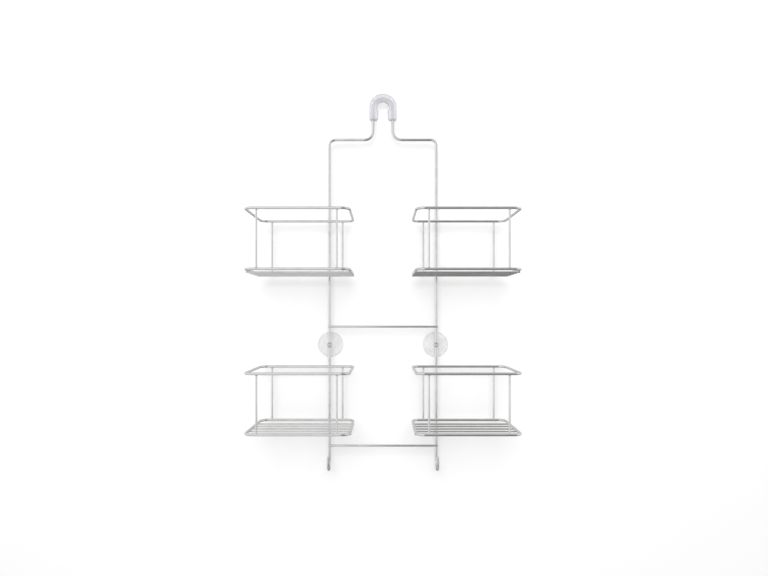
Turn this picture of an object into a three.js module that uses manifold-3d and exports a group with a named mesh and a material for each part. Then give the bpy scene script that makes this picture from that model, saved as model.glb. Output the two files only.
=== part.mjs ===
// A wire shower caddy that hangs on the shower arm: one bent frame wire with an arch at the top and a
// J-hook at each lower end, a clear sleeve on the arch, two crossbars, two suction cups threaded on
// the uprights, and four wire baskets.
//
// Millimetres. +Z is up and +Y points at the wall, so the front is at -Y. The origin is the centre of
// the sleeve's round hole, where the shower arm lies.
import * as THREE from "three";
import { mergeVertices } from "three/addons/utils/BufferGeometryUtils.js";
import Module from "manifold-3d";

const wasm = await Module();
wasm.setup();

// Wire gauges, as radii.
const FRAME_R = 2.3;
const CROSSBAR_R = 1.8;
const RIM_R = 2.1;
const POST_R = 1.6;
const FLOOR_R = 1.4;

// The clearance between pieces that touch or are welded.
const GAP = 0.3;

// The frame wire's centre line.
const UPRIGHT_X = 92.9;
const SHOULDER_Z = -55.8;
const SHOULDER_BEND = 10;
const NECK_BEND = 15;
const ARCH_R = 17;
const HOOK_BEND = 12;
const HOOK_BOTTOM_Z = -625.6;
const HOOK_TIP_Z = -601;

// The sleeve on the arch.
const SLEEVE_OUTER_R = 23.5;
const SLEEVE_HOLE_R = 10.7;
const SLEEVE_THROAT_X = 8;
const SLEEVE_THROAT_Z = -9.5;
const SLEEVE_MOUTH_X = 9.1;
const SLEEVE_BOTTOM_Z = -22;
const SLEEVE_DEPTH = 13;
const SLEEVE_CORNER = 2;

// The crossbars' heights.
const MID_CROSSBAR_Z = -380.9;
const LOWER_CROSSBAR_Z = -587.1;

// The suction cups. Distances along the cup's axis are measured from the wire, towards the wall.
const CUP_Z = -412.8;
const CUP_R = 22.25;
const CUP_LIP = 1.1;
const CUP_WALL_Y = 17;
const CUP_NUB_R = 4.3;
const CUP_NUB_FRONT_Y = -5.2;
const CUP_NUB_CHAMFER = 0.9;
const CUP_BORE_R = FRAME_R + 0.4;
const CUP_HUB_R = 10;
const CUP_STEP_R = 14;

// The baskets: rim centre lines, seen from above, and heights.
const BASKET_X = 130.9;
const BASKET_WIDTH = 159.6;
const BASKET_DEPTH = 115;
const BASKET_CORNER = 12;
const BASKET_HEIGHT = 92.5;
const BASKET_TOP_Z = { upper: -198.4, lower: -449.9 };
const POST_SPREAD = 61;
const FLOOR_WIRES = 5;

// Facets around a wire, along a quarter bend, and around a turned piece.
const FRAME_SIDES = 12;
const WIRE_SIDES = 8;
const BEND_STEPS = 4;
const ARCH_STEPS = 8;
const TURN_SIDES = 40;

const chrome = new THREE.MeshStandardMaterial({ color: 0xd2d2d0, roughness: 0.28, metalness: 1 });
const clearVinyl = new THREE.MeshStandardMaterial({
  color: 0xdcdbe0,
  roughness: 0.25,
  metalness: 0,
  transparent: true,
  opacity: 0.7,
});
const cupVinyl = new THREE.MeshStandardMaterial({
  color: 0xf0f0f0,
  roughness: 0.3,
  metalness: 0,
  transparent: true,
  opacity: 0.6,
});

const v3 = (x, y, z) => new THREE.Vector3(x, y, z);

// A bent wire's centre line: straight runs between corner points, with an arc at each corner that has
// a bend radius. It has stations only where the wire starts, ends or bends.
class BentWire extends THREE.Curve {
  constructor(corners, { closed = false, steps = BEND_STEPS } = {}) {
    super();
    this.stations = [];
    const last = corners.length - 1;
    corners.forEach((corner, i) => {
      if (!closed && (i === 0 || i === last)) {
        const [from, to] = i === 0 ? [corner, corners[1]] : [corners[i - 1], corner];
        this.addStation(corner.at, to.at.clone().sub(from.at).normalize());
      } else {
        const before = corners[(i + last) % corners.length].at;
        const after = corners[(i + 1) % corners.length].at;
        this.addBend(before, corner, after, corner.steps ?? steps);
      }
    });
    if (closed) this.stations.push(this.stations[0]);
  }

  get steps() {
    return this.stations.length - 1;
  }

  addStation(point, tangent) {
    const previous = this.stations.at(-1);
    if (!previous || previous.point.distanceTo(point) > 1e-6) this.stations.push({ point, tangent });
  }

  addBend(before, { at, bend }, after, steps) {
    const incoming = at.clone().sub(before).normalize();
    const outgoing = after.clone().sub(at).normalize();
    const angle = incoming.angleTo(outgoing);
    const axis = incoming.clone().cross(outgoing).normalize();
    const start = at.clone().addScaledVector(incoming, -bend * Math.tan(angle / 2));
    const spoke = incoming.clone().cross(axis).multiplyScalar(bend);
    const centre = start.clone().sub(spoke);
    for (let k = 0; k <= steps; k++) {
      const turn = (angle * k) / steps;
      const point = spoke.clone().applyAxisAngle(axis, turn).add(centre);
      this.addStation(point, incoming.clone().applyAxisAngle(axis, turn));
    }
  }

  locate(t) {
    const place = t * this.steps;
    const index = Math.min(Math.floor(place + 1e-6), this.steps - 1);
    return { a: this.stations[index], b: this.stations[index + 1], f: place - index };
  }

  getPoint(t, target = new THREE.Vector3()) {
    const { a, b, f } = this.locate(t);
    return target.lerpVectors(a.point, b.point, f);
  }

  getPointAt(t, target) {
    return this.getPoint(t, target);
  }

  getTangentAt(t, target = new THREE.Vector3()) {
    const { a, b, f } = this.locate(t);
    return target.lerpVectors(a.tangent, b.tangent, f).normalize();
  }
}

// A wire's section: a regular polygon with its corners on the radius.
function wireSection(radius, sides) {
  const corners = Array.from({ length: sides }, (_, i) => {
    const angle = (2 * Math.PI * i) / sides;
    return new THREE.Vector2(radius * Math.cos(angle), radius * Math.sin(angle));
  });
  return new THREE.Shape(corners);
}

// A wire of the given radius along a centre line.
function wire(path, radius, sides = WIRE_SIDES) {
  const section = wireSection(radius, sides);
  return new THREE.ExtrudeGeometry(section, { steps: path.steps, extrudePath: path });
}

// A straight rod of the given length along a direction, centred on its own middle.
function rod(length, radius, direction) {
  const half = direction.clone().multiplyScalar(length / 2);
  return wire(new BentWire([{ at: half.clone().negate() }, { at: half }]), radius);
}

// A wire whose two ends meet: its first group, the end faces, is left out.
function wireLoop(path, radius) {
  const tube = wire(path, radius);
  const { start, count } = tube.groups[1];
  const points = tube.getAttribute("position").array.slice(3 * start, 3 * (start + count));
  const loop = new THREE.BufferGeometry();
  loop.setAttribute("position", new THREE.BufferAttribute(points, 3));
  loop.computeVertexNormals();
  return loop;
}

// A closed geometry as a solid that can be cut.
function solid(geometry) {
  const bare = new THREE.BufferGeometry();
  bare.setAttribute("position", geometry.getAttribute("position"));
  bare.setIndex(geometry.getIndex());
  const merged = mergeVertices(bare, 1e-4);
  return new wasm.Manifold(
    new wasm.Mesh({
      numProp: 3,
      vertProperties: merged.getAttribute("position").array,
      triVerts: new Uint32Array(merged.getIndex().array),
    }),
  );
}

// The geometry left when the cutter is taken out of the body.
function cut(body, cutter) {
  const left = solid(body).subtract(solid(cutter)).getMesh();
  const geometry = new THREE.BufferGeometry();
  geometry.setAttribute("position", new THREE.BufferAttribute(left.vertProperties, 3));
  geometry.setIndex(new THREE.BufferAttribute(left.triVerts, 1));
  geometry.computeVertexNormals();
  return geometry;
}

function named(name, geometry, material) {
  const mesh = new THREE.Mesh(geometry, material);
  mesh.name = name;
  return mesh;
}

// The arch over the shower arm, with its two legs down to the given height.
function archCorners(legZ) {
  return [
    { at: v3(-ARCH_R, 0, legZ) },
    { at: v3(-ARCH_R, 0, ARCH_R), bend: ARCH_R, steps: ARCH_STEPS },
    { at: v3(ARCH_R, 0, ARCH_R), bend: ARCH_R, steps: ARCH_STEPS },
    { at: v3(ARCH_R, 0, legZ) },
  ];
}

// The frame wire: hook, upright, shoulder, neck and arch, and the same again down the other side.
function frameWire() {
  const side = (sign) => [
    { at: v3(sign * UPRIGHT_X, -2 * HOOK_BEND, HOOK_TIP_Z) },
    { at: v3(sign * UPRIGHT_X, -2 * HOOK_BEND, HOOK_BOTTOM_Z), bend: HOOK_BEND },
    { at: v3(sign * UPRIGHT_X, 0, HOOK_BOTTOM_Z), bend: HOOK_BEND },
    { at: v3(sign * UPRIGHT_X, 0, SHOULDER_Z), bend: SHOULDER_BEND },
    { at: v3(sign * ARCH_R, 0, SHOULDER_Z), bend: NECK_BEND },
  ];
  const arch = archCorners(SHOULDER_Z).slice(1, 3);
  return wire(new BentWire([...side(-1), ...arch, ...side(1).reverse()]), FRAME_R, FRAME_SIDES);
}

// The clear sleeve: a keyhole-shaped block that slips over the arch, with the wire's channel inside.
function headSleeve() {
  const outline = new THREE.Shape();
  outline.moveTo(-SLEEVE_OUTER_R, SLEEVE_BOTTOM_Z + SLEEVE_CORNER);
  outline.lineTo(-SLEEVE_OUTER_R, 0);
  outline.absarc(0, 0, SLEEVE_OUTER_R, Math.PI, 0, true);
  outline.lineTo(SLEEVE_OUTER_R, SLEEVE_BOTTOM_Z + SLEEVE_CORNER);
  outline.lineTo(SLEEVE_OUTER_R - SLEEVE_CORNER, SLEEVE_BOTTOM_Z);
  outline.lineTo(SLEEVE_MOUTH_X, SLEEVE_BOTTOM_Z);
  outline.lineTo(SLEEVE_THROAT_X, SLEEVE_THROAT_Z);
  const throat = Math.asin(SLEEVE_THROAT_X / SLEEVE_HOLE_R);
  outline.absarc(0, 0, SLEEVE_HOLE_R, throat - Math.PI / 2, (3 * Math.PI) / 2 - throat, false);
  outline.lineTo(-SLEEVE_THROAT_X, SLEEVE_THROAT_Z);
  outline.lineTo(-SLEEVE_MOUTH_X, SLEEVE_BOTTOM_Z);
  outline.lineTo(SLEEVE_CORNER - SLEEVE_OUTER_R, SLEEVE_BOTTOM_Z);
  const block = new THREE.ExtrudeGeometry(outline, {
    depth: SLEEVE_DEPTH,
    curveSegments: 20,
    bevelEnabled: false,
  });
  block.rotateX(Math.PI / 2).translate(0, SLEEVE_DEPTH / 2, 0);
  const channel = new BentWire(archCorners(SHOULDER_Z));
  return cut(block, wire(channel, FRAME_R + GAP, FRAME_SIDES));
}

// A straight rod across the front of both uprights.
function crossbar(name, z) {
  const bar = named(name, rod(2 * (UPRIGHT_X + FRAME_R), CROSSBAR_R, v3(1, 0, 0)), chrome);
  bar.position.set(0, -(FRAME_R + GAP + CROSSBAR_R), z);
  return bar;
}

// A suction cup: a round nub that the upright passes through, a stepped hub, and a dished skirt with
// a flat lip that meets the wall.
function suctionCup() {
  const innerLip = CUP_R - CUP_LIP;
  const profile = [
    [0, CUP_NUB_FRONT_Y],
    [CUP_NUB_R - CUP_NUB_CHAMFER, CUP_NUB_FRONT_Y],
    [CUP_NUB_R, CUP_NUB_FRONT_Y + CUP_NUB_CHAMFER],
    [CUP_NUB_R, 5.6],
    [CUP_NUB_R + 0.9, 6.4],
    [CUP_HUB_R - 0.6, 7.2],
    [CUP_HUB_R, 7.8],
    [CUP_HUB_R + 0.2, 9],
    [CUP_STEP_R - 0.3, 10.2],
    [CUP_STEP_R, 10.9],
    [18, 12.9],
    [CUP_R - 0.5, 15.4],
    [CUP_R, 16],
    [CUP_R, CUP_WALL_Y],
    [innerLip, CUP_WALL_Y],
    [18, 14.9],
    [12, 12.7],
    [6, 11.6],
    [0, 11.2],
  ].map(([r, y]) => new THREE.Vector2(r, y));
  const bore = new THREE.CylinderGeometry(CUP_BORE_R, CUP_BORE_R, 4 * CUP_NUB_R, 12);
  return cut(new THREE.LatheGeometry(profile, TURN_SIDES), bore.rotateX(Math.PI / 2));
}

// A round-cornered rectangular rim in a level plane, centred on the basket's own axis.
function rim() {
  const x = BASKET_WIDTH / 2;
  const y = BASKET_DEPTH / 2;
  const corners = [v3(-x, -y, 0), v3(x, -y, 0), v3(x, y, 0), v3(-x, y, 0)];
  const bends = corners.map((at) => ({ at, bend: BASKET_CORNER }));
  return wireLoop(new BentWire(bends, { closed: true }), RIM_R);
}

// One basket: two rims, four posts that stand between them, and floor wires under the bottom rim. The
// group's origin is on the basket's axis at the top rim's centre line.
function basket(name, x, topZ) {
  const group = new THREE.Group();
  group.position.set(x, -(FRAME_R + GAP + RIM_R + BASKET_DEPTH / 2), topZ);

  const rimGeometry = rim();
  const topRim = named(`${name}_top_rim`, rimGeometry, chrome);
  const bottomRim = named(`${name}_bottom_rim`, rimGeometry, chrome);
  bottomRim.position.z = -BASKET_HEIGHT;
  group.add(topRim, bottomRim);

  const postGeometry = rod(BASKET_HEIGHT - 2 * (RIM_R + GAP), POST_R, v3(0, 0, 1));
  for (const [row, rowSign] of Object.entries({ front: -1, back: 1 })) {
    for (const [side, sideSign] of Object.entries({ left: -1, right: 1 })) {
      const mesh = named(`${name}_${row}_${side}_post`, postGeometry, chrome);
      mesh.position.set(sideSign * POST_SPREAD, (rowSign * BASKET_DEPTH) / 2, -BASKET_HEIGHT / 2);
      group.add(mesh);
    }
  }

  const floorZ = -BASKET_HEIGHT - RIM_R - GAP - FLOOR_R;
  const floorGeometry = rod(BASKET_WIDTH + 2 * RIM_R, FLOOR_R, v3(1, 0, 0));
  for (let i = 1; i <= FLOOR_WIRES; i++) {
    const mesh = named(`${name}_floor_wire_${i}`, floorGeometry, chrome);
    mesh.position.set(0, BASKET_DEPTH * (i / (FLOOR_WIRES + 1) - 0.5), floorZ);
    group.add(mesh);
  }
  return group;
}

const caddy = new THREE.Group();
caddy.add(
  named("frame_wire", frameWire(), chrome),
  named("head_sleeve", headSleeve(), clearVinyl),
  crossbar("mid_crossbar", MID_CROSSBAR_Z),
  crossbar("lower_crossbar", LOWER_CROSSBAR_Z),
);

const cupGeometry = suctionCup();
for (const [side, sign] of Object.entries({ left: -1, right: 1 })) {
  const cup = named(`${side}_suction_cup`, cupGeometry, cupVinyl);
  cup.position.set(sign * UPRIGHT_X, 0, CUP_Z);
  caddy.add(cup);
  for (const [level, topZ] of Object.entries(BASKET_TOP_Z)) {
    caddy.add(basket(`${level}_${side}_basket`, sign * BASKET_X, topZ));
  }
}

export default caddy;
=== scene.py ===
"""The looks of a wire shower caddy that hangs on the shower arm.

One bent frame wire with a clear sleeve on its arch, two crossbars, two clear suction cups and four
wire baskets, in bright chrome, hung in front of a pale wall in soft studio light. Metres, +Z up, +Y
towards the wall, with the origin at the centre of the sleeve's round hole.
"""

from __future__ import annotations

import logging
import math
from collections.abc import Callable, Mapping, Sequence
from dataclasses import dataclass, field
from enum import Enum
from typing import Any, Union

import bmesh
import bpy
import numpy as np
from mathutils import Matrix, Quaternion, Vector


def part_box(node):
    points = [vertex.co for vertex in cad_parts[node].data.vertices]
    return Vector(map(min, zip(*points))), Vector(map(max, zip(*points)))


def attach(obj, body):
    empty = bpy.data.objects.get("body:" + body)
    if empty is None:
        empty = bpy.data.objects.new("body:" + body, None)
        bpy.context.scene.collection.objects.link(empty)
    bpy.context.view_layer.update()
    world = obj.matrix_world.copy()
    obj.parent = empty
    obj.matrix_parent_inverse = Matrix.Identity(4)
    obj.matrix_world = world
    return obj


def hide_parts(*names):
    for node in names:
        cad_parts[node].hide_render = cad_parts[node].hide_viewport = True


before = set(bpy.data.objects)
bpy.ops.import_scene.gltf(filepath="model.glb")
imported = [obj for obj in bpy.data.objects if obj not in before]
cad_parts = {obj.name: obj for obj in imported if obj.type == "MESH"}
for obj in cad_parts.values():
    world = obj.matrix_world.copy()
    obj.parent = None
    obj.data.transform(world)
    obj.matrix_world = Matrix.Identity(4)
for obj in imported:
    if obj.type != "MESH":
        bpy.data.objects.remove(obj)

LOG = logging.getLogger("shower_caddy")
MM = 0.001
TOUCHING = 0.001 * MM
MERGED = 0.002 * MM
X = Vector((1, 0, 0))
Y = Vector((0, 1, 0))
Z = Vector((0, 0, 1))

Colour = tuple[float, float, float]
WHITE: Colour = (1.0, 1.0, 1.0)
# Where a soft step begins and ends.
Band = tuple[float, float]
# Points of a turned shape.
Outline = tuple[tuple[float, float], ...]
# The place where two wires cross, and the way that one of them faces the other.
Crossing = tuple[Vector, Vector]


class Body(Enum):
    """The rigid bodies that pieces ride on."""

    WELDED_FRAME = "welded_frame"
    LEFT_CUP = "left_cup"
    RIGHT_CUP = "right_cup"


class Slot(Enum):
    """The names of the caddy's material slots."""

    CHROME = "chrome_wire"
    SLEEVE = "clear_sleeve"
    CUP = "clear_cup"


class Side(Enum):
    """Left or right of the caddy, seen from the front, as a sign along X."""

    LEFT = -1
    RIGHT = 1

    @property
    def word(self) -> str:
        """The side's name as the pieces spell it."""
        return self.name.lower()


class Element(Enum):
    """What an edit-mode selection is made of."""

    VERTEX = "VERT"
    EDGE = "EDGE"
    FACE = "FACE"


# -------- Modelling steps


class Bench:
    """The steps that every piece is modelled with."""

    @staticmethod
    def clear() -> None:
        """Leaves edit mode and deselects everything."""
        if bpy.context.mode != "OBJECT":
            bpy.ops.object.mode_set(mode="OBJECT")
        bpy.ops.object.select_all(action="DESELECT")

    @staticmethod
    def activate(piece: bpy.types.Object) -> None:
        """Makes a piece the only selected and the active one."""
        Bench.clear()
        piece.select_set(True)
        bpy.context.view_layer.objects.active = piece

    @staticmethod
    def settle() -> None:
        """Puts the selected piece's place, turn and scale into its mesh."""
        bpy.ops.object.transform_apply(location=True, rotation=True, scale=True)

    @staticmethod
    def edit(element: Element) -> None:
        """Opens the new primitive in edit mode, with its place in its mesh and all of it selected."""
        Bench.settle()
        bpy.ops.object.mode_set(mode="EDIT")
        bpy.ops.mesh.select_mode(type=element.value)
        bpy.ops.mesh.select_all(action="SELECT")

    @staticmethod
    def pick(element: Element, wanted: Callable[[Vector], bool]) -> None:
        """Selects the elements whose middle passes a test.

        Args:
            element: what to select.
            wanted: the test on an element's middle.
        """
        bpy.ops.mesh.select_mode(type=element.value)
        bpy.ops.mesh.select_all(action="DESELECT")
        mesh = bmesh.from_edit_mesh(bpy.context.edit_object.data)
        kinds = {Element.VERTEX: mesh.verts, Element.EDGE: mesh.edges, Element.FACE: mesh.faces}
        for part in kinds[element]:
            corners = [part] if element is Element.VERTEX else part.verts
            middle = sum((v.co for v in corners), Vector()) / len(corners)
            part.select_set(wanted(middle))
        bmesh.update_edit_mesh(bpy.context.edit_object.data)

    @staticmethod
    def extrude(step: Vector) -> None:
        """Extrudes the selection by a step."""
        bpy.ops.mesh.extrude_region_move(TRANSFORM_OT_translate={"value": step})

    @staticmethod
    def swell(factor: float, about: Vector, along: Vector = Vector((1, 1, 1))) -> None:
        """Scales the selection about a point.

        Args:
            factor: the scale.
            about: the point that stays where it is.
            along: 1 for each axis that is scaled and 0 for each that isn't.
        """
        scales = [1 + (factor - 1) * share for share in along]
        bpy.ops.transform.resize(value=scales, center_override=about)

    @staticmethod
    def leave(name: str) -> bpy.types.Object:
        """Closes edit mode and names the piece.

        Args:
            name: the piece's name.

        Returns:
            The piece, with its doubles merged and its normals pointing out.
        """
        bpy.ops.mesh.select_all(action="SELECT")
        bpy.ops.mesh.remove_doubles(threshold=MERGED)
        bpy.ops.mesh.normals_make_consistent(inside=False)
        bpy.ops.object.mode_set(mode="OBJECT")
        piece = bpy.context.object
        piece.name = name
        return piece

    @staticmethod
    def smooth(piece: bpy.types.Object, angle: float) -> None:
        """Shades a piece smooth, with its edges over an angle in degrees kept crisp."""
        Bench.activate(piece)
        bpy.ops.object.shade_smooth_by_angle(angle=math.radians(angle))

    @staticmethod
    def modify(piece: bpy.types.Object, kind: str, **settings: Any) -> None:
        """Adds a modifier with its settings and applies it."""
        Bench.activate(piece)
        modifier = piece.modifiers.new(kind.title(), kind)
        for setting, value in settings.items():
            setattr(modifier, setting, value)
        bpy.ops.object.modifier_apply(modifier=modifier.name)

    @staticmethod
    def carve(piece: bpy.types.Object, cutter: bpy.types.Object) -> None:
        """Cuts a cutter out of a piece and throws the cutter away."""
        Bench.modify(piece, "BOOLEAN", operation="DIFFERENCE", object=cutter, solver="EXACT")
        bpy.data.objects.remove(cutter)

    @staticmethod
    def copy(piece: bpy.types.Object, name: str, shift: Vector) -> bpy.types.Object:
        """Copies a piece, mesh and all.

        Args:
            piece: the piece to copy.
            name: the copy's name.
            shift: how far the copy lies from the first.

        Returns:
            The copy, with its place in its mesh.
        """
        Bench.activate(piece)
        bpy.ops.object.duplicate(linked=False)
        bpy.ops.transform.translate(value=shift)
        Bench.settle()
        twin = bpy.context.object
        twin.name = name
        twin.data.name = name
        return twin

    @staticmethod
    def join(name: str, parts: Sequence[bpy.types.Object]) -> bpy.types.Object:
        """Joins parts into one piece of that name."""
        Bench.activate(parts[0])
        for part in parts:
            part.select_set(True)
        bpy.ops.object.join()
        whole = bpy.context.object
        whole.name = name
        return whole


@dataclass(frozen=True)
class Station:
    """A ring of a bent wire: its centre, the way the wire heads, a fixed side of it, and its travel."""

    centre: Vector
    heading: Vector
    side: Vector
    travel: float


class WireBender:
    """Makes a round wire: its end face is extruded along each run and spun around each bend."""

    SIDES = 24
    STEPS_PER_TURN = 48
    FEWEST_STEPS = 2
    END_STEPS = 3
    HOLD = 0.5 * MM
    SHORTEST_HELD = 4 * HOLD
    CRISP_ANGLE = 50.0
    DRAWN = "drawn"

    def __init__(
        self, start: Vector, heading: Vector, radius: float, edge: float = 0.0, closed: bool = False
    ) -> None:
        """Sets off with the wire's first ring.

        Args:
            start: where the wire's centre line begins.
            heading: the way it sets off.
            radius: the wire's radius.
            edge: the rounding of its cut ends.
            closed: whether the wire ends where it began.
        """
        self.centre = start.copy()
        self.heading = heading.normalized()
        self.side = self.heading.orthogonal().normalized()
        self.radius = radius
        self.edge = edge
        self.travel = 0.0
        self.stations: list[Station] = []
        Bench.clear()
        bpy.ops.mesh.primitive_circle_add(
            vertices=self.SIDES,
            radius=radius - edge,
            fill_type="NOTHING" if closed else "NGON",
            location=start,
            rotation=self.heading.to_track_quat("Z", "Y").to_euler(),
        )
        Bench.edit(Element.EDGE if closed else Element.FACE)
        self._note()
        if edge:
            self._round(start_end=True)

    def _note(self) -> None:
        """Notes the ring that the wire has reached."""
        ring = Station(self.centre.copy(), self.heading.copy(), self.side.copy(), self.travel)
        self.stations.append(ring)

    def _round(self, start_end: bool) -> None:
        """Rounds a cut end, outwards from the first ring or inwards to the last one."""
        turns = [math.pi / 2 * k / self.END_STEPS for k in range(self.END_STEPS + 1)]
        widths = [self.radius - self.edge * (1 - math.cos(turn)) for turn in turns]
        depths = [self.edge * math.sin(turn) for turn in turns]
        if start_end:
            widths = widths[::-1]
            depths = [self.edge - depth for depth in depths[::-1]]
        for k in range(self.END_STEPS):
            self.run(depths[k + 1] - depths[k], swell=widths[k + 1] / widths[k])

    def run(self, length: float, swell: float = 1.0) -> WireBender:
        """Extrudes a straight run. A ring close to each end of a long one keeps its shading straight.

        Args:
            length: how far it goes.
            swell: the last ring's width over the width before it.

        Returns:
            The bender, for the next step.
        """
        is_held = swell == 1.0 and length > self.SHORTEST_HELD
        for part in (self.HOLD, length - 2 * self.HOLD, self.HOLD) if is_held else (length,):
            step = self.heading * part
            Bench.extrude(step)
            self.centre += step
            self.travel += part
            if swell != 1.0:
                Bench.swell(swell, self.centre)
            self._note()
        return self

    def bend(self, axis: Vector, radius: float, degrees: float = 90.0) -> WireBender:
        """Spins a bend, turning right-handed about an axis.

        Args:
            axis: the bend's axis.
            radius: the radius of the centre line.
            degrees: how far it turns.

        Returns:
            The bender, for the next step.
        """
        angle = math.radians(degrees)
        steps = max(self.FEWEST_STEPS, round(self.STEPS_PER_TURN * degrees / 360))
        pivot = self.centre + axis.cross(self.heading) * radius
        bpy.ops.mesh.spin(steps=steps, dupli=False, angle=-angle, center=pivot, axis=axis)
        turn = Quaternion(axis, angle / steps)
        for _ in range(steps):
            self.centre = pivot + turn @ (self.centre - pivot)
            self.heading = turn @ self.heading
            self.side = turn @ self.side
            self.travel += radius * angle / steps
            self._note()
        return self

    def done(self, name: str) -> bpy.types.Object:
        """Finishes the wire.

        Args:
            name: the piece's name.

        Returns:
            The piece, with the draw direction kept on its surface for the finish.
        """
        if self.edge:
            self._round(start_end=False)
        piece = Bench.leave(name)
        self._keep_draw_direction(piece)
        Bench.smooth(piece, self.CRISP_ANGLE)
        return piece

    def _keep_draw_direction(self, piece: bpy.types.Object) -> None:
        """Stores, for each point, its place around the wire and its travel along it."""
        mesh = piece.data
        points = np.empty(len(mesh.vertices) * 3)
        mesh.vertices.foreach_get("co", points)
        points = points.reshape(-1, 3)
        centres = np.array([s.centre for s in self.stations])
        nearest = np.linalg.norm(points[:, None] - centres[None], axis=2).argmin(axis=1)
        sides = np.array([s.side for s in self.stations])[nearest]
        across = np.array([s.heading.cross(s.side) for s in self.stations])[nearest]
        offsets = (points - centres[nearest]) / self.radius
        around = np.stack([(offsets * sides).sum(axis=1), (offsets * across).sum(axis=1)], axis=1)
        travel = np.array([s.travel for s in self.stations])[nearest]
        drawn = np.column_stack([around, travel]).astype(np.float32)
        mesh.attributes.new(self.DRAWN, "FLOAT_VECTOR", "POINT").data.foreach_set("vector", drawn.ravel())


# -------- Shader building

SocketValue = Union["Signal", float, Sequence[float], bpy.types.NodeSocket]
Paint = Union[Colour, bpy.types.NodeSocket]


class Signal:
    """A number that varies over a surface. Arithmetic on it adds Math nodes."""

    def __init__(self, tree: ShaderTree, socket: bpy.types.NodeSocket) -> None:
        """Wraps a socket of a tree."""
        self.tree = tree
        self.socket = socket

    def _math(self, operation: str, *values: SocketValue) -> Signal:
        """A Math node on these values."""
        node = self.tree.node("ShaderNodeMath", {"operation": operation}, dict(enumerate(values)))
        return Signal(self.tree, node.outputs[0])

    def __add__(self, other: SocketValue) -> Signal:
        """This plus another."""
        return self._math("ADD", self, other)

    def __radd__(self, other: SocketValue) -> Signal:
        """Another plus this."""
        return self._math("ADD", other, self)

    def __sub__(self, other: SocketValue) -> Signal:
        """This less another."""
        return self._math("SUBTRACT", self, other)

    def __rsub__(self, other: SocketValue) -> Signal:
        """Another less this."""
        return self._math("SUBTRACT", other, self)

    def __mul__(self, other: SocketValue) -> Signal:
        """This times another."""
        return self._math("MULTIPLY", self, other)

    def __rmul__(self, other: SocketValue) -> Signal:
        """Another times this."""
        return self._math("MULTIPLY", other, self)

    def size(self) -> Signal:
        """This without its sign."""
        return self._math("ABSOLUTE", self)

    def between(self, low: float, high: float) -> Signal:
        """A soft step from 0 at low to 1 at high."""
        node = self.tree.node(
            "ShaderNodeMapRange",
            {"interpolation_type": "SMOOTHSTEP"},
            {"Value": self, "From Min": low, "From Max": high},
        )
        return Signal(self.tree, node.outputs[0])


class ShaderTree:
    """A node tree that is written out step by step."""

    def __init__(self, nodes: bpy.types.NodeTree) -> None:
        """Empties the tree of a material or a world, to be written anew."""
        self.tree = nodes
        self.tree.nodes.clear()

    def node(
        self,
        kind: str,
        settings: Mapping[str, Any] | None = None,
        inputs: Mapping[str | int, SocketValue] | None = None,
    ) -> bpy.types.Node:
        """Adds a node.

        Args:
            kind: the node's type.
            settings: its own settings, made first.
            inputs: a value or a link for each of its sockets, by name or number.

        Returns:
            The node.
        """
        node = self.tree.nodes.new(kind)
        for setting, value in (settings or {}).items():
            setattr(node, setting, value)
        for key, value in (inputs or {}).items():
            socket = node.inputs[key]
            source = value.socket if isinstance(value, Signal) else value
            if isinstance(source, bpy.types.NodeSocket):
                self.tree.links.new(source, socket)
            else:
                socket.default_value = source
        return node

    def object_place(self) -> bpy.types.NodeSocket:
        """The place of a surface point on its own object."""
        return self.node("ShaderNodeTexCoord").outputs["Object"]

    def drawn_place(self, around: float, along: float) -> bpy.types.NodeSocket:
        """The place of a point on a bent wire, stretched along the wire's run.

        Args:
            around: how fast the pattern changes around the wire, per radius.
            along: how fast it changes along the wire, per metre.

        Returns:
            The stretched place.
        """
        drawn = self.node("ShaderNodeAttribute", {"attribute_name": WireBender.DRAWN}).outputs["Vector"]
        stretch = {"Vector": drawn, "Scale": (around, around, along)}
        return self.node("ShaderNodeMapping", None, stretch).outputs["Vector"]

    def noise(self, place: bpy.types.NodeSocket, scale: float, detail: float = 3.0) -> Signal:
        """Soft noise between 0 and 1 at a place, at a scale per metre."""
        node = self.node("ShaderNodeTexNoise", None, {"Vector": place, "Scale": scale, "Detail": detail})
        return Signal(self, node.outputs["Fac"])

    def mix(self, share: SocketValue, first: Paint, second: Paint) -> bpy.types.NodeSocket:
        """A colour between two others.

        Args:
            share: how far it lies from the first to the second, from 0 to 1.
            first: a colour or a link to one.
            second: another.

        Returns:
            The colour.
        """
        node = self.node("ShaderNodeMix", {"data_type": "RGBA"}, {"Factor": share})
        for socket, colour in zip([s for s in node.inputs if s.type == "RGBA"], (first, second)):
            if isinstance(colour, bpy.types.NodeSocket):
                self.tree.links.new(colour, socket)
            else:
                socket.default_value = (*colour, 1.0)
        return next(s for s in node.outputs if s.type == "RGBA")

    def bump(
        self, height: Signal, depth: float, under: bpy.types.NodeSocket | None = None
    ) -> bpy.types.NodeSocket:
        """A normal that rises with a height.

        Args:
            height: the height, from 0 to 1.
            depth: how far 1 stands above 0, in metres.
            under: the normal of the coarser shape that this one lies on.

        Returns:
            The normal.
        """
        inputs: dict[str | int, SocketValue] = {"Height": height, "Distance": depth, "Strength": 1.0}
        if under is not None:
            inputs["Normal"] = under
        return self.node("ShaderNodeBump", None, inputs).outputs["Normal"]

    def axes(self, place: bpy.types.NodeSocket) -> tuple[Signal, Signal, Signal]:
        """The three parts of a place or a direction."""
        split = self.node("ShaderNodeSeparateXYZ", None, {0: place})
        x, y, z = (Signal(self, socket) for socket in split.outputs)
        return x, y, z


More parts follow.
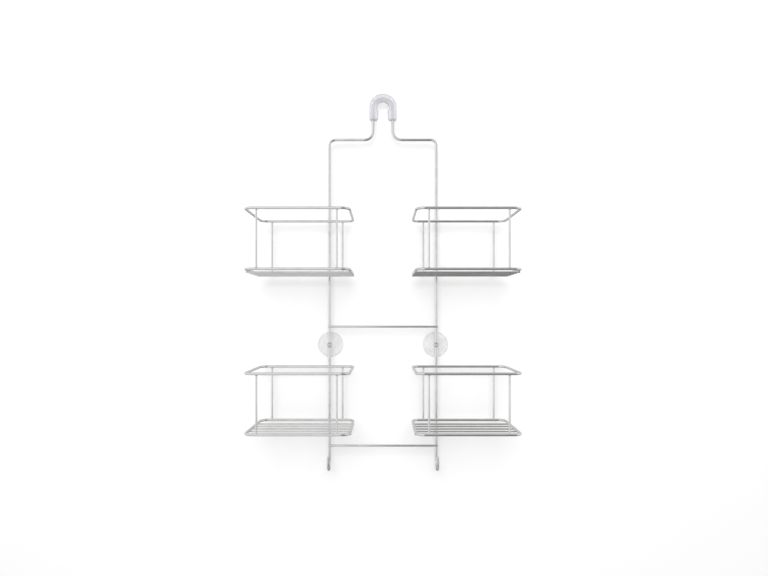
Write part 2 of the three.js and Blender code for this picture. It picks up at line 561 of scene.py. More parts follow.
@dataclass(frozen=True)
class Finish:
    """A surface finish: its name, and the method that writes its nodes."""

    name: str

    def shade(self, tree: ShaderTree) -> bpy.types.Node:
        """Writes the finish's nodes and returns the shader."""
        raise NotImplementedError

    def material(self) -> bpy.types.Material:
        """The finish as a material, made once and shared."""
        made = bpy.data.materials.get(self.name)
        if made is None:
            made = bpy.data.materials.new(self.name)
            made.use_nodes = True
            tree = ShaderTree(made.node_tree)
            tree.node("ShaderNodeOutputMaterial", None, {"Surface": self.shade(tree).outputs[0]})
        return made


@dataclass(frozen=True)
class ChromeFinish(Finish):
    """Bright chrome over drawn steel wire: faint draw lines, plating ripple and a soft haze."""

    bright: Colour = (0.90, 0.90, 0.90)
    dull: Colour = (0.76, 0.757, 0.752)
    roughness: float = 0.075
    haze: float = 0.085
    line_depth: float = 0.012 * MM
    ripple_depth: float = 0.03 * MM
    lines_around: float = 4.5
    lines_per_metre: float = 45.0
    ripples_per_metre: float = 420.0
    clouds_per_metre: float = 65.0
    cloud_band: Band = (0.35, 0.7)
    pits_per_metre: float = 2600.0
    pit_band: Band = (0.62, 0.8)
    pit_depth: float = 0.5
    dull_clouds: float = 0.45
    dull_lines: float = 0.35
    dull_pits: float = 0.35
    hazy_clouds: float = 0.6
    hazy_lines: float = 0.4

    def shade(self, tree: ShaderTree) -> bpy.types.Node:
        """Writes the finish's nodes and returns the shader."""
        place = tree.object_place()
        lines = tree.noise(tree.drawn_place(self.lines_around, self.lines_per_metre), 1.0, detail=5.0)
        clouds = tree.noise(place, self.clouds_per_metre, detail=4.0).between(*self.cloud_band)
        ripple = tree.noise(place, self.ripples_per_metre, detail=2.0)
        pits = tree.noise(place, self.pits_per_metre, detail=1.0).between(*self.pit_band)
        ripples = tree.bump(ripple, self.ripple_depth)
        tone = self.dull_clouds * clouds + self.dull_lines * lines + self.dull_pits * pits
        haze = self.hazy_clouds * clouds + self.hazy_lines * lines
        surface = {
            "Base Color": tree.mix(tone, self.bright, self.dull),
            "Metallic": 1.0,
            "Roughness": self.roughness + self.haze * haze,
            "Normal": tree.bump(lines - self.pit_depth * pits, self.line_depth, ripples),
        }
        return tree.node("ShaderNodeBsdfPrincipled", None, surface)


@dataclass(frozen=True)
class WeldFinish(Finish):
    """A weld bead under the plating: the same chrome, duller and a little uneven."""

    bright: Colour = (0.80, 0.79, 0.775)
    dull: Colour = (0.56, 0.55, 0.53)
    roughness: float = 0.27
    haze: float = 0.2
    lumps_per_metre: float = 900.0
    lump_depth: float = 0.12 * MM
    stains_per_metre: float = 180.0
    stain_band: Band = (0.4, 0.65)
    dull_stains: float = 0.7
    dull_lumps: float = 0.3

    def shade(self, tree: ShaderTree) -> bpy.types.Node:
        """Writes the finish's nodes and returns the shader."""
        place = tree.object_place()
        lumps = tree.noise(place, self.lumps_per_metre)
        stains = tree.noise(place, self.stains_per_metre, detail=2.0).between(*self.stain_band)
        tone = self.dull_stains * stains + self.dull_lumps * lumps
        surface = {
            "Base Color": tree.mix(tone, self.bright, self.dull),
            "Metallic": 1.0,
            "Roughness": self.roughness + self.haze * lumps,
            "Normal": tree.bump(lumps, self.lump_depth),
        }
        return tree.node("ShaderNodeBsdfPrincipled", None, surface)


@dataclass(frozen=True)
class VinylFinish(Finish):
    """Clear soft vinyl: lightly clouded, denser where it is seen edge-on and with painted shade darkening
    its colour there, with an uneven moulded skin.
    """

    clear: Colour = (0.69, 0.685, 0.725)
    cloudy: Colour = (0.61, 0.605, 0.65)
    # The colour painted as shade along the outline, where the vinyl is seen edge-on.
    edge: Colour = (0.40, 0.40, 0.43)
    # The colour of the painted shade at the wire's mouths in the cup's nub.
    mouth_shade_colour: Colour = (0.34, 0.34, 0.35)
    roughness: float = 0.10
    haze: float = 0.14
    hazy_clouds: float = 0.7
    hazy_skin: float = 0.3
    ior: float = 1.5
    film: float = 0.42
    film_clouds: float = 0.07
    edge_film: float = 0.32
    core_film: float = 0.16
    grip_film: float = 0.35
    clouds_per_metre: float = 95.0
    cloud_band: Band = (0.3, 0.7)
    skin_per_metre: float = 700.0
    skin_depth: float = 0.05 * MM
    waves_per_metre: float = 110.0
    wave_depth: float = 0.2 * MM

    def core(self, tree: ShaderTree, place: bpy.types.NodeSocket) -> Signal | float:
        """How far a point lies in the moulding's thick core, from 0 to 1."""
        return 0.0

    def grip(self, tree: ShaderTree, place: bpy.types.NodeSocket) -> Signal | float:
        """How much painted shade a point takes where the wire goes into the vinyl, from 0 to 1."""
        return 0.0

    def shade(self, tree: ShaderTree) -> bpy.types.Node:
        """Writes the finish's nodes and returns the shader."""
        place = tree.object_place()
        clouds = tree.noise(place, self.clouds_per_metre, detail=4.0).between(*self.cloud_band)
        skin = tree.noise(place, self.skin_per_metre)
        waves = tree.bump(tree.noise(place, self.waves_per_metre, detail=1.0), self.wave_depth)
        edge_on = Signal(tree, tree.node("ShaderNodeLayerWeight", None, {"Blend": 0.5}).outputs["Facing"])
        # Painted shade: the colour darkens towards the edge colour where the surface is seen edge-on.
        body = tree.mix(edge_on * edge_on * edge_on, tree.mix(clouds, self.clear, self.cloudy), self.edge)
        core, grip = self.core(tree, place), self.grip(tree, place)
        film = self.film + self.film_clouds * clouds + self.edge_film * edge_on * edge_on
        haze = self.hazy_clouds * clouds + self.hazy_skin * skin
        surface = {
            # Painted shade: the vinyl is darker and denser where the wire goes into the cup's nub and comes
            # out.
            "Base Color": tree.mix(grip, body, self.mouth_shade_colour),
            "Metallic": 0.0,
            "Roughness": self.roughness + self.haze * haze,
            "IOR": self.ior,
            "Alpha": film + self.core_film * core + self.grip_film * grip,
            "Normal": tree.bump(skin, self.skin_depth, waves),
        }
        return tree.node("ShaderNodeBsdfPrincipled", None, surface)


@dataclass(frozen=True)
class CupVinylFinish(VinylFinish):
    """The suction cups' clear vinyl, thick at the nub, with painted shade where the wire goes into the nub
    and comes out.
    """

    clear: Colour = (0.66, 0.66, 0.67)
    cloudy: Colour = (0.56, 0.56, 0.57)
    # Painted shade along the cup's outline, where it is seen edge-on.
    edge: Colour = (0.38, 0.38, 0.39)
    roughness: float = 0.08
    haze: float = 0.12
    film: float = 0.11
    film_clouds: float = 0.06
    edge_film: float = 0.58
    wave_depth: float = 0.12 * MM
    axis_x: float = 0.0929
    axis_z: float = -0.4128
    nub_radius: float = 4.3 * MM
    wire_radius: float = 2.3 * MM
    nub_fade: Band = (5.6 * MM, 7.0 * MM)
    core_fade: float = 1.25
    # Where the painted shade lies around the wire's mouths, in wire radii across and nub radii along.
    grip_width: float = 1.6
    grip_start: Band = (0.25, 0.6)
    grip_end: Band = (1.05, 1.3)

    def _offset(self, tree: ShaderTree, place: bpy.types.NodeSocket) -> tuple[Signal, Signal, Signal]:
        """How far a point lies from the nearer cup's axis: outwards, along it and upwards."""
        x, y, z = tree.axes(place)
        return x.size() - self.axis_x, y, z - self.axis_z

    def core(self, tree: ShaderTree, place: bpy.types.NodeSocket) -> Signal:
        """How far a point lies in the nub, from 0 to 1."""
        x, y, z = self._offset(tree, place)
        outside = (x * x + z * z).between(self.nub_radius**2, (self.core_fade * self.nub_radius) ** 2)
        return (1.0 - outside) * (1.0 - y.between(*self.nub_fade))

    def grip(self, tree: ShaderTree, place: bpy.types.NodeSocket) -> Signal:
        """How near a point is to where the wire goes into the nub or comes out, where shade is painted, from
        0 to 1.
        """
        x, y, z = self._offset(tree, place)
        beside = 1.0 - x.size().between(self.wire_radius, self.grip_width * self.wire_radius)
        mouth = z.size().between(*(share * self.nub_radius for share in self.grip_start))
        beyond = z.size().between(*(share * self.nub_radius for share in self.grip_end))
        return beside * mouth * (1.0 - beyond) * (1.0 - y.between(*self.nub_fade))


CHROME = ChromeFinish("bright_chrome_wire")
WELD = WeldFinish("plated_weld")
SLEEVE_VINYL = VinylFinish("clear_sleeve_vinyl")


# -------- The frame's boxes


@dataclass(frozen=True)
class NodeBox:
    """The lowest and highest corner of one of the frame's nodes."""

    low: Vector
    high: Vector

    @classmethod
    def of(cls, node: str) -> NodeBox:
        """The box of a node by its name."""
        return cls(*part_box(node))

    @property
    def middle(self) -> Vector:
        """The box's middle."""
        return (self.low + self.high) / 2

    @property
    def size(self) -> Vector:
        """The box's three sides."""
        return self.high - self.low


def finish_piece(
    piece: bpy.types.Object,
    finish: Finish,
    body: Body = Body.WELDED_FRAME,
    stands_for: str | None = None,
) -> None:
    """Gives a piece its finish and the body that it rides on, and reports it.

    Args:
        piece: the piece.
        finish: its surface.
        body: the body that it moves with.
        stands_for: the node whose plain shape it takes the place of.
    """
    piece.data.materials.clear()
    piece.data.materials.append(finish.material())
    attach(piece, body.value)
    if stands_for:
        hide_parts(stands_for)
    LOG.info("%-40s %6d faces on %s", piece.name, len(piece.data.polygons), body.value)


# -------- Sub-assemblies


@dataclass
class FrameWire:
    """The frame wire: a hook, an upright, a shoulder and a neck on each side, and the arch."""

    box: NodeBox = field(default_factory=lambda: NodeBox.of("frame_wire"))
    shoulder_z: float = -55.8 * MM
    shoulder_bend: float = 10 * MM
    neck_bend: float = 15 * MM
    arch_radius: float = 17 * MM
    hook_tip_z: float = -601 * MM
    tip_edge: float = 1.5 * MM

    @property
    def radius(self) -> float:
        """The wire's radius."""
        return self.box.high.y

    @property
    def upright_x(self) -> float:
        """How far an upright's centre line is from the middle."""
        return self.box.high.x - self.radius

    @property
    def hook_bend(self) -> float:
        """The radius of the hook's two quarter bends."""
        return -(self.box.low.y + self.radius) / 2

    def build(self) -> bpy.types.Object:
        """Bends the wire from the left hook's tip to the right one's.

        Returns:
            The piece.
        """
        hook_bottom = self.box.low.z + self.radius
        start = Vector((-self.upright_x, -2 * self.hook_bend, self.hook_tip_z))
        hook_side = self.hook_tip_z - hook_bottom - self.hook_bend
        upright = self.shoulder_z - self.shoulder_bend - hook_bottom - self.hook_bend
        shoulder = self.upright_x - self.arch_radius - self.shoulder_bend - self.neck_bend
        neck = -self.shoulder_z - self.neck_bend
        bender = WireBender(start, -Z, self.radius, self.tip_edge)
        bender.run(hook_side - self.tip_edge)
        bender.bend(X, self.hook_bend, 180)
        bender.run(upright).bend(Y, self.shoulder_bend)
        bender.run(shoulder).bend(-Y, self.neck_bend)
        bender.run(neck).bend(Y, self.arch_radius, 180)
        bender.run(neck).bend(-Y, self.neck_bend)
        bender.run(shoulder).bend(Y, self.shoulder_bend)
        bender.run(upright).bend(-X, self.hook_bend, 180)
        bender.run(hook_side - self.tip_edge)
        return bender.done("bent_frame_wire")

    def dress(self) -> None:
        """Builds the wire and gives it its finish."""
        finish_piece(self.build(), CHROME, stands_for="frame_wire")


@dataclass
class HeadSleeve:
    """The clear sleeve on the arch: a rounded keyhole block with the wire's channel inside."""

    frame_wire: FrameWire
    box: NodeBox = field(default_factory=lambda: NodeBox.of("head_sleeve"))
    hole_radius: float = 10.7 * MM
    throat_x: float = 8 * MM
    throat_z: float = -9.5 * MM
    mouth_x: float = 9.1 * MM
    rounding: float = 3.4 * MM
    rounding_steps: int = 5
    rounded_from: float = 60.0
    first_step: float = 0.25
    arc_steps: int = 16
    throat_steps: int = 4
    seam_merge: float = 0.05 * MM
    channel_play: float = 0.3 * MM
    channel_beyond: float = 5 * MM
    crisp_angle: float = 40.0

    def build(self) -> bpy.types.Object:
        """Models one half flat, gives it its depth, mirrors and rounds it, and cuts the channel.

        Returns:
            The piece.
        """
        depth = self.box.size.y
        outer = self.box.low.x
        back = Vector((0, depth / 2, 0))
        width = -outer - self.hole_radius
        height = width * self.first_step
        Bench.clear()
        bpy.ops.mesh.primitive_plane_add(
            size=1, location=(outer + width / 2, back.y, -height / 2), rotation=(math.pi / 2, 0, 0)
        )
        bpy.context.object.scale = (width, height, 1)
        Bench.edit(Element.VERTEX)
        self._place_inner_corner(-height)
        self._shape_leg(-height)
        Bench.pick(Element.EDGE, lambda middle: abs(middle.z) < TOUCHING and middle.x < 0)
        bpy.ops.mesh.spin(steps=self.arc_steps, dupli=False, angle=-math.pi / 2, center=back, axis=Y)
        bpy.ops.mesh.select_all(action="SELECT")
        Bench.extrude(-Y * depth)
        half = Bench.leave("clear_head_sleeve")
        self._drop_seam_faces(half)
        Bench.modify(half, "MIRROR", merge_threshold=self.seam_merge)
        self._round_edges(half)
        Bench.carve(half, self._channel())
        Bench.smooth(half, self.crisp_angle)
        return half

    def _throat_angle(self) -> float:
        """The angle below the level at which the round hole meets the throat."""
        return math.acos(self.throat_x / self.hole_radius)

    def _place_inner_corner(self, z: float) -> None:
        """Moves the inner vertex at a height onto the round hole."""
        inner = -self.hole_radius - TOUCHING
        Bench.pick(Element.VERTEX, lambda v: abs(v.z - z) < TOUCHING and v.x > inner)
        reach = math.sqrt(self.hole_radius**2 - z**2)
        bpy.ops.transform.translate(value=(self.hole_radius - reach, 0, 0))

    def _shape_leg(self, top_z: float) -> None:
        """Extrudes the leg down: round the hole to the throat, then straight to the mouth."""
        first = math.asin(-top_z / self.hole_radius)
        last = self._throat_angle()
        inner = [
            (-self.hole_radius * math.cos(a), -self.hole_radius * math.sin(a))
            for a in np.linspace(first, last, self.throat_steps + 1)
        ]
        inner += [(-self.throat_x, self.throat_z), (-self.mouth_x, self.box.low.z)]
        for (x0, z0), (x1, z1) in zip(inner, inner[1:]):
            Bench.pick(Element.EDGE, lambda m, z=z0: abs(m.z - z) < TOUCHING)
            Bench.extrude(Vector((0, 0, z1 - z0)))
            moved = Vector((x0, 0, z1))
            Bench.pick(Element.VERTEX, lambda v, at=moved: max(abs(v.x - at.x), abs(v.z - at.z)) < TOUCHING)
            bpy.ops.transform.translate(value=(x1 - x0, 0, 0))

    @staticmethod
    def _drop_seam_faces(half: bpy.types.Object) -> None:
        """Opens the half where its mirror image joins it."""
        Bench.activate(half)
        bpy.ops.object.mode_set(mode="EDIT")
        Bench.pick(Element.FACE, lambda middle: abs(middle.x) < TOUCHING)
        bpy.ops.mesh.delete(type="FACE")
        bpy.ops.object.mode_set(mode="OBJECT")

    def _round_edges(self, block: bpy.types.Object) -> None:
        """Rounds the outline at the front and the back, and the legs' lower corners."""
        Bench.activate(block)
        bpy.ops.object.mode_set(mode="EDIT")
        bpy.ops.mesh.select_mode(type=Element.EDGE.value)
        bpy.ops.mesh.select_all(action="DESELECT")
        mesh = bmesh.from_edit_mesh(block.data)
        for edge in mesh.edges:
            between_two = len(edge.link_faces) == 2
            edge.select_set(between_two and edge.calc_face_angle() > math.radians(self.rounded_from))
        bmesh.update_edit_mesh(block.data)
        bpy.ops.mesh.bevel(
            offset=self.rounding, segments=self.rounding_steps, affect="EDGES", clamp_overlap=True
        )
        bpy.ops.object.mode_set(mode="OBJECT")

    def _channel(self) -> bpy.types.Object:
        """The channel that the arch lies in, as a cutter."""
        arch = self.frame_wire.arch_radius
        below = self.box.low.z - self.channel_beyond
        bender = WireBender(Vector((-arch, 0, below)), Z, self.frame_wire.radius + self.channel_play)
        bender.run(-below).bend(Y, arch, 180).run(-below)
        return bender.done("channel_cutter")

    def dress(self) -> None:
        """Builds the sleeve and gives it its finish."""
        sleeve = self.build()
        sleeve.visible_shadow = False
        finish_piece(sleeve, SLEEVE_VINYL, stands_for="head_sleeve")


@dataclass
class Crossbar:
    """A straight wire welded across the front of both uprights."""

    node: str
    frame_wire: FrameWire
    cut_edge: float = 0.5 * MM
    bite: float = 0.35 * MM

    def build(self) -> bpy.types.Object:
        """Draws the bar a little into the uprights, as its welds hold it.

        Returns:
            The piece.
        """
        box = NodeBox.of(self.node)
        start = Vector((box.low.x, box.middle.y + self.bite, box.middle.z))
        bender = WireBender(start, X, box.size.z / 2, self.cut_edge)
        bender.run(box.size.x - 2 * self.cut_edge)
        return bender.done(f"welded_{self.node}")

    def dress(self) -> None:
        """Builds the bar and gives it its finish."""
        finish_piece(self.build(), CHROME, stands_for=self.node)

    def weld_places(self) -> list[Crossing]:
        """Where the bar crosses the uprights."""
        z = NodeBox.of(self.node).middle.z
        across, front = self.frame_wire.upright_x, -self.frame_wire.radius
        return [(Vector((side.value * across, front, z)), Y) for side in Side]


@dataclass
class Weld:
    """The small bead that squeezes out where two wires are welded."""

    spread: float = 1.9 * MM
    thickness: float = 1.0 * MM
    unevenness: float = 0.12 * MM
    segments: int = 12
    rings: int = 8
    crisp_angle: float = 180.0

    def bead(self, name: str, place: Vector, facing: Vector, seed: int) -> bpy.types.Object:
        """Models one bead.

        Args:
            name: its name.
            place: where the two wires touch.
            facing: the way that one wire faces the other.
            seed: the bead's own unevenness.

        Returns:
            The bead.
        """
        Bench.clear()
        bpy.ops.mesh.primitive_uv_sphere_add(
            segments=self.segments,
            ring_count=self.rings,
            radius=self.spread,
            location=place,
            rotation=facing.to_track_quat("Z", "Y").to_euler(),
        )
        bpy.context.object.scale.z = self.thickness / self.spread
        Bench.edit(Element.VERTEX)
        bpy.ops.transform.vertex_random(offset=self.unevenness, uniform=0.0, normal=1.0, seed=seed)
        piece = Bench.leave(name)
        Bench.smooth(piece, self.crisp_angle)
        return piece

    def dress(self, owner: str, places: list[Crossing]) -> None:
        """Models all the beads of a sub-assembly as one piece and gives it its finish.

        Args:
            owner: the sub-assembly's name.
            places: its crossings.
        """
        beads = [
            self.bead(f"{owner}_bead_{i}", place, facing, seed=i) for i, (place, facing) in enumerate(places)
        ]
        finish_piece(Bench.join(f"{owner}_welds", beads), WELD)


@dataclass
class SuctionCup:
    """A clear suction cup: a nub that the upright passes through, a stepped hub and a dished skirt.

    An Outline gives pairs of radius and place along the axis, in millimetres. The hub's and the step's
    radii are counted from their own radius and their places from the nub's back. The rim's radii are
    counted from the cup's own. The places of the skirt, the rim and the dish are counted from the wall.
    """

    side: Side
    frame_wire: FrameWire
    nub_radius: float = 4.3 * MM
    nub_edge: float = 0.9 * MM
    nub_back_y: float = 5.6 * MM
    root_fillet: float = 1.6 * MM
    arc_points: int = 6
    hub_radius: float = 10 * MM
    hub: Outline = ((-1.2, 0.55), (-0.4, 0.85), (-0.05, 1.4), (0.0, 2.9), (0.35, 3.5))
    step_radius: float = 14 * MM
    step: Outline = ((-0.9, 4.35), (-0.25, 4.6), (0.0, 5.1), (0.25, 5.75))
    skirt: Outline = ((17.2, -4.6), (19.9, -3.1))
    rim: Outline = ((-0.75, -1.85), (-0.25, -1.5), (0.0, -1.0), (0.0, -0.25), (-0.15, 0.0), (-1.1, 0.0))
    dish: Outline = ((19.6, -1.2), (17, -2.6), (13, -4.0), (9, -4.9), (5, -5.5), (2, -5.75))
    bore_play: float = 0.4 * MM
    bore_flare: float = 1.25
    bore_straight: float = 0.62
    bore_mouth: float = 0.38
    bore_beyond: float = 4 * MM
    segments: int = 72
    crisp_angle: float = 38.0

    @property
    def node(self) -> str:
        """The cup's node."""
        return f"{self.side.word}_suction_cup"

    @property
    def body(self) -> Body:
        """The body that the cup moves with."""
        return Body.LEFT_CUP if self.side is Side.LEFT else Body.RIGHT_CUP

    def profile(self, front: float, wall: float, radius: float) -> list[tuple[float, float]]:
        """The cup's outline, from the nub's front round the lip to the middle of the dish.

        Args:
            front: the nub's front.
            wall: where the lip meets the wall.
            radius: the cup's radius.

        Returns:
            Pairs of radius and distance along the cup's axis.
        """
        nub, edge, fillet, back = self.nub_radius, self.nub_edge, self.root_fillet, self.nub_back_y
        turns = np.linspace(0, math.pi / 2, self.arc_points)
        crown = [(nub - edge * (1 - math.sin(a)), front + edge * (1 - math.cos(a))) for a in turns]
        root = [(nub + fillet * (1 - math.cos(a)), back - fillet * (1 - math.sin(a))) for a in turns]
        sections = (
            (self.hub, self.hub_radius, back),
            (self.step, self.step_radius, back),
            (self.skirt, 0.0, wall),
            (self.rim, radius, wall),
            (self.dish, 0.0, wall),
        )
        turned = [(r + out * MM, y + along * MM) for outline, r, y in sections for out, along in outline]
        return crown + root + turned

    def build(self) -> bpy.types.Object:
        """Stacks the outline up from a disc and bores the nub.

        Returns:
            The piece.
        """
        box = NodeBox.of(self.node)
        axis = Vector((box.middle.x, 0, box.middle.z))
        outline = self.profile(box.low.y, box.high.y, box.size.x / 2)
        radius, y = outline[0]
        Bench.clear()
        bpy.ops.mesh.primitive_circle_add(
            vertices=self.segments,
            radius=radius,
            fill_type="NGON",
            location=axis + Y * y,
            rotation=Y.to_track_quat("Z", "Y").to_euler(),
        )
        Bench.edit(Element.FACE)
        for next_radius, next_y in outline[1:]:
            Bench.extrude(Y * (next_y - y))
            Bench.swell(next_radius / radius, axis + Y * next_y, Vector((1, 0, 1)))
            radius, y = next_radius, next_y
        cup = Bench.leave(f"clear_{self.node}")
        Bench.carve(cup, self._bore(axis))
        Bench.smooth(cup, self.crisp_angle)
        return cup

    def _bore(self, axis: Vector) -> bpy.types.Object:
        """The bore through the nub, flared where the wire goes in and comes out, as a cutter."""
        wide = (self.frame_wire.radius + self.bore_play) * self.bore_flare
        straight = self.nub_radius * self.bore_straight
        mouth = self.nub_radius * self.bore_mouth
        bender = WireBender(axis - Z * (straight + mouth + self.bore_beyond), Z, wide)
        bender.run(self.bore_beyond).run(mouth, swell=1 / self.bore_flare).run(2 * straight)
        bender.run(mouth, swell=self.bore_flare).run(self.bore_beyond)
        return bender.done("bore_cutter")

    def dress(self) -> None:
        """Builds the cup and gives it its finish."""
        axis = NodeBox.of(self.node).middle
        finish = CupVinylFinish(
            "clear_cup_vinyl",
            axis_x=abs(axis.x),
            axis_z=axis.z,
            nub_radius=self.nub_radius,
            wire_radius=self.frame_wire.radius,
        )
        cup = self.build()
        cup.visible_shadow = False
        finish_piece(cup, finish, self.body, self.node)


@dataclass
class BasketParts:
    """One rim, one post and one floor wire, modelled once for all four baskets."""

    pattern: str = "upper_left_basket"
    corner: float = 12 * MM
    cut_edge: float = 0.4 * MM
    post_foot: float = 1.25
    foot_flares: tuple[float, float] = (0.7, 0.3)
    foot_height: float = 0.9 * MM
    rim_bite: float = 0.9 * MM
    floor_bite: float = 0.55 * MM

    def rim(self) -> bpy.types.Object:
        """Bends a rim, starting at the middle of its back run, where the two ends are butt welded.

        Returns:
            The top rim of the pattern basket.
        """
        box = NodeBox.of(f"{self.pattern}_top_rim")
        radius = box.size.z / 2
        across = box.size.x - 2 * (radius + self.corner)
        deep = box.size.y - 2 * (radius + self.corner)
        start = Vector((box.middle.x, box.high.y - radius, box.middle.z))
        bender = WireBender(start, X, radius, closed=True)
        bender.run(across / 2).bend(-Z, self.corner).run(deep).bend(-Z, self.corner)
        bender.run(across).bend(-Z, self.corner).run(deep).bend(-Z, self.corner).run(across / 2)
        return bender.done("rim_pattern")

    def post(self) -> bpy.types.Object:
        """Draws a post from rim to rim, with a small welded foot at each end.

        Returns:
            The post of the pattern basket's front left corner.
        """
        box = NodeBox.of(f"{self.pattern}_front_left_post")
        radius = box.size.x / 2
        start = Vector((box.middle.x, box.middle.y, box.low.z - self.rim_bite))
        foot = 1 / self.post_foot
        steps = [(self.rim_bite, foot)]
        steps += [(self.foot_height / 2, foot**flare) for flare in self.foot_flares]
        bender = WireBender(start, Z, radius * self.post_foot**2)
        for length, swell in steps:
            bender.run(length, swell)
        bender.run(box.size.z - 2 * self.foot_height)
        for length, swell in reversed(steps):
            bender.run(length, 1 / swell)
        return bender.done("post_pattern")

    def floor_wire(self) -> bpy.types.Object:
        """Draws a floor wire, pressed a little into the rim above it.

        Returns:
            The first floor wire of the pattern basket.
        """
        box = NodeBox.of(f"{self.pattern}_floor_wire_1")
        start = Vector((box.low.x, box.middle.y, box.middle.z + self.floor_bite))
        bender = WireBender(start, X, box.size.z / 2, self.cut_edge)
        bender.run(box.size.x - 2 * self.cut_edge)
        return bender.done("floor_wire_pattern")


@dataclass
class Basket:
    """One wire basket: two rims, four posts, five floor wires and the welds that hold them."""

    level: str
    side: Side
    frame_wire: FrameWire
    parts: BasketParts
    weld: Weld
    floor_wires: int = 5

    @property
    def name(self) -> str:
        """The basket's name."""
        return f"{self.level}_{self.side.word}_basket"

    def place(self, pattern: bpy.types.Object, kind: str, first: str) -> None:
        """Copies a pattern to where a node of this basket lies, and dresses the copy.

        Args:
            pattern: the piece to copy.
            kind: the node's name without the basket's.
            first: the node that the pattern was made for, also without the basket's name.
        """
        node = f"{self.name}_{kind}"
        shift = NodeBox.of(node).middle - NodeBox.of(f"{self.parts.pattern}_{first}").middle
        finish_piece(Bench.copy(pattern, f"welded_{node}", shift), CHROME, stands_for=node)

    def build(self, rim: bpy.types.Object, post: bpy.types.Object, floor_wire: bpy.types.Object) -> None:
        """Places the basket's wires and welds.

        Args:
            rim: the rim's pattern.
            post: the post's pattern.
            floor_wire: the floor wire's pattern.
        """
        for level in ("top", "bottom"):
            self.place(rim, f"{level}_rim", "top_rim")
        for row in ("front", "back"):
            for side in Side:
                self.place(post, f"{row}_{side.word}_post", "front_left_post")
        for number in range(1, self.floor_wires + 1):
            self.place(floor_wire, f"floor_wire_{number}", "floor_wire_1")
        self.weld.dress(self.name, self.weld_places())

    def weld_places(self) -> list[Crossing]:
        """Where this basket's wires cross each other and the upright.

        Returns:
            The crossings, those on the upright first.
        """
        places: list[Crossing] = []
        for level in ("top", "bottom"):
            rim = NodeBox.of(f"{self.name}_{level}_rim")
            x = self.side.value * self.frame_wire.upright_x
            places.append((Vector((x, (rim.high.y - self.frame_wire.radius) / 2, rim.middle.z)), Y))
        bottom = NodeBox.of(f"{self.name}_bottom_rim")
        radius = bottom.size.z / 2
        for number in range(1, self.floor_wires + 1):
            y = NodeBox.of(f"{self.name}_floor_wire_{number}").middle.y
            for x in (bottom.low.x + radius, bottom.high.x - radius):
                places.append((Vector((x, y, bottom.low.z)), Z))
        return places


# -------- The studio


@dataclass(frozen=True)
class StudioFinish(Finish):
    """A matt pale surface of the studio, which its own back doesn't show."""

    colour: Colour
    glow: float = 0.0

    def shade(self, tree: ShaderTree) -> bpy.types.Node:
        """Writes the finish's nodes and returns the shader."""
        matt = tree.node("ShaderNodeBsdfDiffuse", None, {"Color": (*self.colour, 1.0)})
        glow = tree.node("ShaderNodeEmission", None, {"Strength": self.glow})
        front = tree.node("ShaderNodeAddShader", None, {0: matt.outputs[0], 1: glow.outputs[0]})
        clear = tree.node("ShaderNodeBsdfTransparent")
        behind = tree.node("ShaderNodeNewGeometry").outputs["Backfacing"]
        return tree.node("ShaderNodeMixShader", None, {0: behind, 1: front.outputs[0], 2: clear.outputs[0]})


@dataclass(frozen=True)
class SoftRoom:
    """The soft light all round: white, but dim to the chrome above, below, behind and at the front right.

    Each share says how far a part of the room is from white to the dim colour, and each band where, along
    X, Y or Z, that part fades in.
    """

    dim: Colour = (0.045, 0.035, 0.028)
    mirrored_level: float = 1.0
    fill_level: float = 0.81
    everywhere: float = 0.13
    above: float = 0.3
    above_band: Band = (0.4, 0.95)
    below: float = 0.33
    below_right: float = 0.18
    below_band: Band = (0.1, 0.42)
    behind: float = 0.26
    behind_band: Band = (0.25, 0.8)
    ahead: float = -0.08
    ahead_right: float = 0.54
    ahead_band: Band = (0.2, 0.7)
    off_level_band: Band = (0.5, 0.9)
    right_start: Band = (-0.05, 0.02)
    right_end: Band = (0.55, 0.85)

    def _shade(self, tree: ShaderTree) -> Signal:
        """How dim the room is each way, from 0 to 1."""
        x, y, z = tree.axes(tree.node("ShaderNodeTexCoord").outputs["Generated"])
        level = 1.0 - z.size().between(*self.off_level_band)
        ahead = (0.0 - y).between(*self.ahead_band) * level
        behind = y.between(*self.behind_band)
        right = x.between(*self.right_start) * (1.0 - x.between(*self.right_end))
        below = (0.0 - z).between(*self.below_band)
        above = z.between(*self.above_band)
        shade = self.everywhere + self.above * above + below * (self.below + self.below_right * right)
        return shade + self.behind * behind + ahead * (self.ahead_right * right + self.ahead)

    def build(self) -> None:
        """Makes the room the scene's world."""
        world = bpy.data.worlds.new("soft_studio")
        world.use_nodes = True
        tree = ShaderTree(world.node_tree)
        rays = tree.node("ShaderNodeLightPath").outputs
        mirrored = tree.mix(self._shade(tree), WHITE, self.dim)
        shown = tree.mix(rays["Is Glossy Ray"], WHITE, mirrored)
        lost = self.mirrored_level - self.fill_level
        level = self.mirrored_level - lost * Signal(tree, rays["Is Diffuse Ray"])
        sky = tree.node("ShaderNodeBackground", None, {"Color": shown, "Strength": level})
        tree.node("ShaderNodeOutputWorld", None, {"Surface": sky.outputs[0]})
        bpy.context.scene.world = world


@dataclass
class SoftBox:
    """A square soft light, high in front of the caddy, that the chrome doesn't mirror."""

    name: str = "key_softbox"
    place: Vector = field(default_factory=lambda: Vector((-0.1, -1.6, 0.4)))
    aim: Vector = field(default_factory=lambda: Vector((0, 0, -0.33)))
    side: float = 1.15
    watts: float = 16.0

    def hang(self) -> None:
        """Hangs the light and turns it to what it aims at."""
        Bench.clear()
        turn = (self.aim - self.place).to_track_quat("-Z", "Y").to_euler()
        bpy.ops.object.light_add(type="AREA", location=self.place, rotation=turn)
        lamp = bpy.context.object
        lamp.name = self.name
        lamp.data.size = self.side
        lamp.data.energy = self.watts
        lamp.visible_camera = lamp.visible_glossy = False


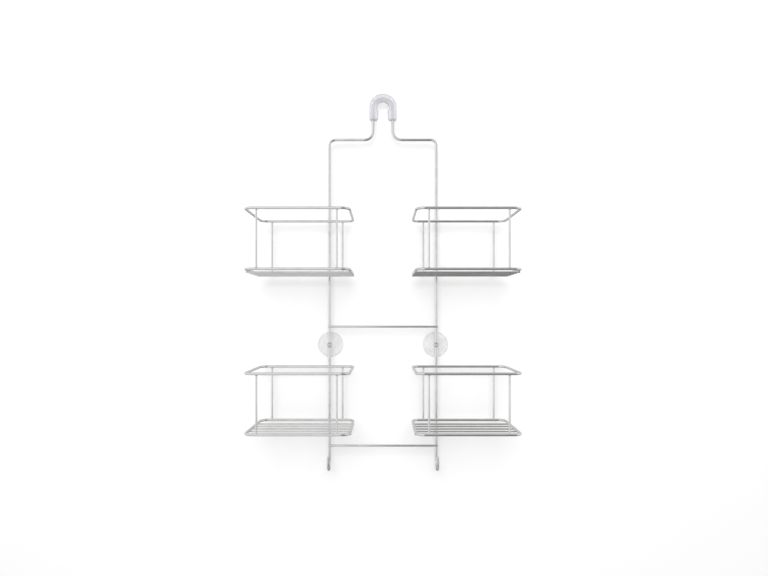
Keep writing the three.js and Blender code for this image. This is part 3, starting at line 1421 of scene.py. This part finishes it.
@dataclass
class Studio:
    """The wall that the caddy hangs in front of, the floor below it, the light and the camera."""

    camera_place: Vector = field(default_factory=lambda: Vector((0, -917.8, -361.3)) * MM)
    sensor: float = 36.0
    lens: float = 24.70
    shift: tuple[float, float] = (0.0013, 0.0356)
    panel_size: float = 8.0
    wall_gap: float = 0.3 * MM
    wall_paint: StudioFinish = StudioFinish("studio_wall_paint", (0.94, 0.94, 0.94))
    floor_z: float = -1.05
    floor_paint: StudioFinish = StudioFinish("studio_floor_paint", (0.86, 0.86, 0.86), 0.08)
    room: SoftRoom = SoftRoom()
    key: SoftBox = field(default_factory=SoftBox)

    def backdrop(self) -> None:
        """Sets up the wall and the floor."""
        wall_y = NodeBox.of("left_suction_cup").high.y + self.wall_gap
        wall = self._panel("studio_wall", Vector((0, wall_y, 0)), math.pi / 2, self.wall_paint)
        wall.visible_shadow = False
        self._panel("studio_floor", Vector((0, 0, self.floor_z)), 0.0, self.floor_paint)

    def _panel(self, name: str, place: Vector, tilt: float, paint: StudioFinish) -> bpy.types.Object:
        """A flat square panel that the chrome doesn't mirror.

        Args:
            name: the panel's name.
            place: its middle.
            tilt: how far it is turned up from level.
            paint: its surface.

        Returns:
            The panel.
        """
        Bench.clear()
        bpy.ops.mesh.primitive_plane_add(size=self.panel_size, location=place, rotation=(tilt, 0, 0))
        Bench.settle()
        panel = bpy.context.object
        panel.name = name
        panel.visible_glossy = panel.visible_diffuse = False
        panel.data.materials.append(paint.material())
        return panel

    def camera(self) -> None:
        """Stands the camera straight in front, level with the lower half of the caddy."""
        bpy.ops.object.camera_add(location=self.camera_place, rotation=(math.pi / 2, 0, 0))
        camera = bpy.context.object
        camera.name = "front_camera"
        camera.data.sensor_width = self.sensor
        camera.data.lens = self.lens
        camera.data.shift_x, camera.data.shift_y = self.shift
        bpy.context.scene.camera = camera

    def build(self) -> None:
        """Builds the whole studio."""
        self.backdrop()
        self.room.build()
        self.key.hang()
        self.camera()
        bpy.context.scene.view_settings.view_transform = "Standard"


def main() -> None:
    """Builds the caddy, sub-assembly by sub-assembly, and the studio around it."""
    logging.basicConfig(level=logging.INFO, format="%(name)s: %(message)s")
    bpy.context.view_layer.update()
    frame_wire = FrameWire()
    frame_wire.dress()
    HeadSleeve(frame_wire).dress()

    weld = Weld()
    crossbars = [Crossbar(node, frame_wire) for node in ("mid_crossbar", "lower_crossbar")]
    for crossbar in crossbars:
        crossbar.dress()
    weld.dress("crossbar", [place for crossbar in crossbars for place in crossbar.weld_places()])

    for side in Side:
        SuctionCup(side, frame_wire).dress()

    parts = BasketParts()
    patterns = [parts.rim(), parts.post(), parts.floor_wire()]
    for level in ("upper", "lower"):
        for side in Side:
            Basket(level, side, frame_wire, parts, weld).build(*patterns)
    for pattern in patterns:
        bpy.data.objects.remove(pattern)

    Studio().build()


if __name__ == "__main__":
    main()
